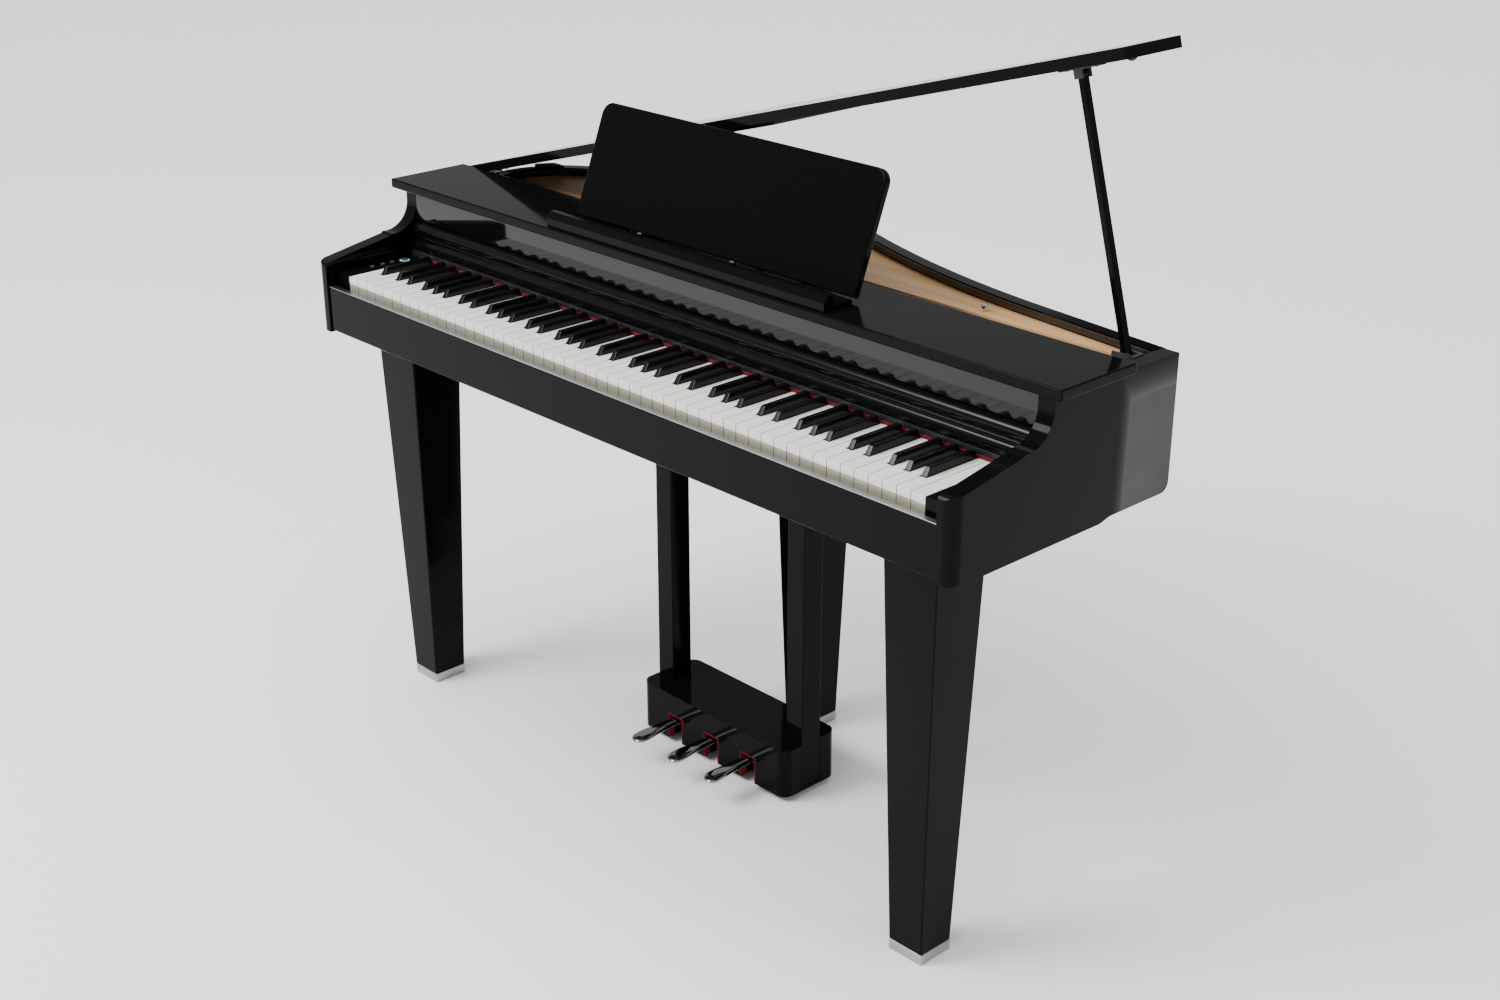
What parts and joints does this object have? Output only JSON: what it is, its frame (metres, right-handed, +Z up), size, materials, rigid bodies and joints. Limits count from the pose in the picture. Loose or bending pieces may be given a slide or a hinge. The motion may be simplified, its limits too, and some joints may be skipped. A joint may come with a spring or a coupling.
{
  "type": "digital mini grand piano",
  "caption": "Compact digital grand piano with a bent rim on three tapered legs, propped lid, folding music desk, sliding key cover and a hung pedal box.",
  "frame": {"origin": "on the floor under the middle of the case's overall box", "axes": "+Z up, +Y from the keyboard to the tail, +X to the player's right (treble side)"},
  "size_m": [1.384, 0.6099, 1.2042],
  "materials": {
    "black_lacquer": "gloss",
    "satin_black": "satin",
    "lid_finish": "gloss",
    "ivory_keys": "satin",
    "sharp_keys": "satin",
    "deck_maple": "satin",
    "rim_veneer": "satin",
    "board_black": "matte",
    "red_felt": "matte",
    "polished_metal": "polished",
    "silver_cap": "satin",
    "dark_steel": "satin",
    "frame_steel": "brushed",
    "button_plastic": "satin",
    "bumper_rubber": "matte",
    "board_green": "satin"
  },
  "bodies": {
    "case": {"side_left": "black_lacquer", "side_right": "black_lacquer", "rim": "black_lacquer", "rim_liner": "rim_veneer", "case_bottom": "board_black", "cross_rail": "board_black", "deck": "deck_maple", "deck_knob": "polished_metal", "key_slip": "black_lacquer", "slip_strip": "silver_cap", "front_panel": "black_lacquer", "top_panel": "black_lacquer", "key_blocks": "black_lacquer", "key_frame": "frame_steel", "key_pivot_rod": "frame_steel", "felt_rail": "satin_black", "key_felt": "red_felt", "desk_ledge": "black_lacquer", "desk_brackets": "dark_steel", "lid_rest": "bumper_rubber", "lid_hinge_case": "polished_metal", "prop_fork": "dark_steel", "front_legs": "black_lacquer", "rear_leg": "black_lacquer", "leg_plates": "frame_steel", "foot_caps": "silver_cap", "pedal_box": "black_lacquer", "pedal_posts": "black_lacquer", "pedal_shaft": "frame_steel", "pedal_felts": "red_felt", "circuit_board": "board_green", "speakers": "satin_black", "jack_panel": "satin_black"},
    "lid": {"lid": "lid_finish", "lid_batten": "rim_veneer", "lid_bumpers": "bumper_rubber", "lid_hinge_lid": "polished_metal", "prop_bracket": "dark_steel"},
    "prop": {"prop": "black_lacquer"},
    "key_cover": {"cover_moulding": "black_lacquer", "cover_board": "black_lacquer", "cover_guides": "satin_black"},
    "music_desk": {"music_desk": "black_lacquer", "desk_barrels": "dark_steel"},
    "page_clip_left": {"page_clip_left": "polished_metal"},
    "page_clip_right": {"page_clip_right": "polished_metal"},
    "soft_pedal": {"soft_pedal": "polished_metal"},
    "middle_pedal": {"middle_pedal": "polished_metal"},
    "sustain_pedal": {"sustain_pedal": "polished_metal"},
    "function_button": {"function_button": "button_plastic"},
    "volume_buttons": {"volume_buttons": "button_plastic"},
    "power_button": {"power_button": "button_plastic"},
    "white_keys_1": {"white_keys_1": "ivory_keys"},
    "white_keys_2": {"white_keys_2": "ivory_keys"},
    "white_keys_3": {"white_keys_3": "ivory_keys"},
    "white_keys_4": {"white_keys_4": "ivory_keys"},
    "black_keys_1": {"black_keys_1": "sharp_keys"},
    "black_keys_2": {"black_keys_2": "sharp_keys"},
    "black_keys_3": {"black_keys_3": "sharp_keys"},
    "black_keys_4": {"black_keys_4": "sharp_keys"}
  },
  "joints": [
    {"name": "lid_hinge", "type": "hinge", "parent": "case", "child": "lid", "pos_m": [-0.67, 0.039, 0.814], "axis": [0, 1, 0], "range_deg": [0, 16]},
    {"name": "prop_fold", "type": "hinge", "parent": "lid", "child": "prop", "pos_m": [0.5301, 0.07, 1.14918], "axis": [0, 1, 0], "range_deg": [0, 90]},
    {"name": "cover_slide", "type": "slide", "parent": "case", "child": "key_cover", "axis": [0, -1, 0], "range_m": [0, 0.139]},
    {"name": "desk_fold", "type": "hinge", "parent": "case", "child": "music_desk", "pos_m": [0, -0.0636, 0.836], "axis": [-1, 0, 0], "range_deg": [-20, 3.5]},
    {"name": "clip_left_flip", "type": "hinge", "parent": "case", "child": "page_clip_left", "pos_m": [-0.095, -0.104, 0.84], "axis": [-1, 0, 0], "range_deg": [0, 80]},
    {"name": "clip_right_flip", "type": "hinge", "parent": "case", "child": "page_clip_right", "pos_m": [0.1, -0.104, 0.84], "axis": [-1, 0, 0], "range_deg": [0, 80]},
    {"name": "white_keys_1_press", "type": "hinge", "parent": "case", "child": "white_keys_1", "pos_m": [0, -0.067, 0.702], "axis": [1, 0, 0], "range_deg": [0, 2.7], "stiffness_Nm_per_rad": 20, "springref_deg": -6.88},
    {"name": "white_keys_2_press", "type": "hinge", "parent": "case", "child": "white_keys_2", "pos_m": [0, -0.067, 0.702], "axis": [1, 0, 0], "range_deg": [0, 2.7], "stiffness_Nm_per_rad": 20, "springref_deg": -6.88},
    {"name": "white_keys_3_press", "type": "hinge", "parent": "case", "child": "white_keys_3", "pos_m": [0, -0.067, 0.702], "axis": [1, 0, 0], "range_deg": [0, 2.7], "stiffness_Nm_per_rad": 20, "springref_deg": -6.88},
    {"name": "white_keys_4_press", "type": "hinge", "parent": "case", "child": "white_keys_4", "pos_m": [0, -0.067, 0.702], "axis": [1, 0, 0], "range_deg": [0, 2.7], "stiffness_Nm_per_rad": 20, "springref_deg": -6.88},
    {"name": "black_keys_1_press", "type": "hinge", "parent": "case", "child": "black_keys_1", "pos_m": [0, -0.067, 0.702], "axis": [1, 0, 0], "range_deg": [0, 2.7], "stiffness_Nm_per_rad": 12, "springref_deg": -6.88},
    {"name": "black_keys_2_press", "type": "hinge", "parent": "case", "child": "black_keys_2", "pos_m": [0, -0.067, 0.702], "axis": [1, 0, 0], "range_deg": [0, 2.7], "stiffness_Nm_per_rad": 12, "springref_deg": -6.88},
    {"name": "black_keys_3_press", "type": "hinge", "parent": "case", "child": "black_keys_3", "pos_m": [0, -0.067, 0.702], "axis": [1, 0, 0], "range_deg": [0, 2.7], "stiffness_Nm_per_rad": 12, "springref_deg": -6.88},
    {"name": "black_keys_4_press", "type": "hinge", "parent": "case", "child": "black_keys_4", "pos_m": [0, -0.067, 0.702], "axis": [1, 0, 0], "range_deg": [0, 2.7], "stiffness_Nm_per_rad": 12, "springref_deg": -6.88},
    {"name": "soft_pedal_press", "type": "hinge", "parent": "case", "child": "soft_pedal", "pos_m": [-0.084, 0.01, 0.05], "axis": [1, 0, 0], "range_deg": [0, 5.5], "stiffness_Nm_per_rad": 12, "springref_deg": -6.88},
    {"name": "middle_pedal_press", "type": "hinge", "parent": "case", "child": "middle_pedal", "pos_m": [0, 0.01, 0.05], "axis": [1, 0, 0], "range_deg": [0, 5.5], "stiffness_Nm_per_rad": 12, "springref_deg": -6.88},
    {"name": "sustain_pedal_press", "type": "hinge", "parent": "case", "child": "sustain_pedal", "pos_m": [0.084, 0.01, 0.05], "axis": [1, 0, 0], "range_deg": [0, 5.5], "stiffness_Nm_per_rad": 12, "springref_deg": -6.88},
    {"name": "function_button_press", "type": "slide", "parent": "case", "child": "function_button", "axis": [0, 0, -1], "range_m": [0, 0.0015], "stiffness_N_per_m": 300, "springref_m": -0.002},
    {"name": "volume_buttons_press", "type": "slide", "parent": "case", "child": "volume_buttons", "axis": [0, 0, -1], "range_m": [0, 0.0015], "stiffness_N_per_m": 300, "springref_m": -0.002},
    {"name": "power_button_press", "type": "slide", "parent": "case", "child": "power_button", "axis": [0, 0, -1], "range_m": [0, 0.0015], "stiffness_N_per_m": 300, "springref_m": -0.002}
  ],
  "couplings": [
    {"joint": "prop_fold", "follows": "lid_hinge", "ratio": 5.625}
  ]
}
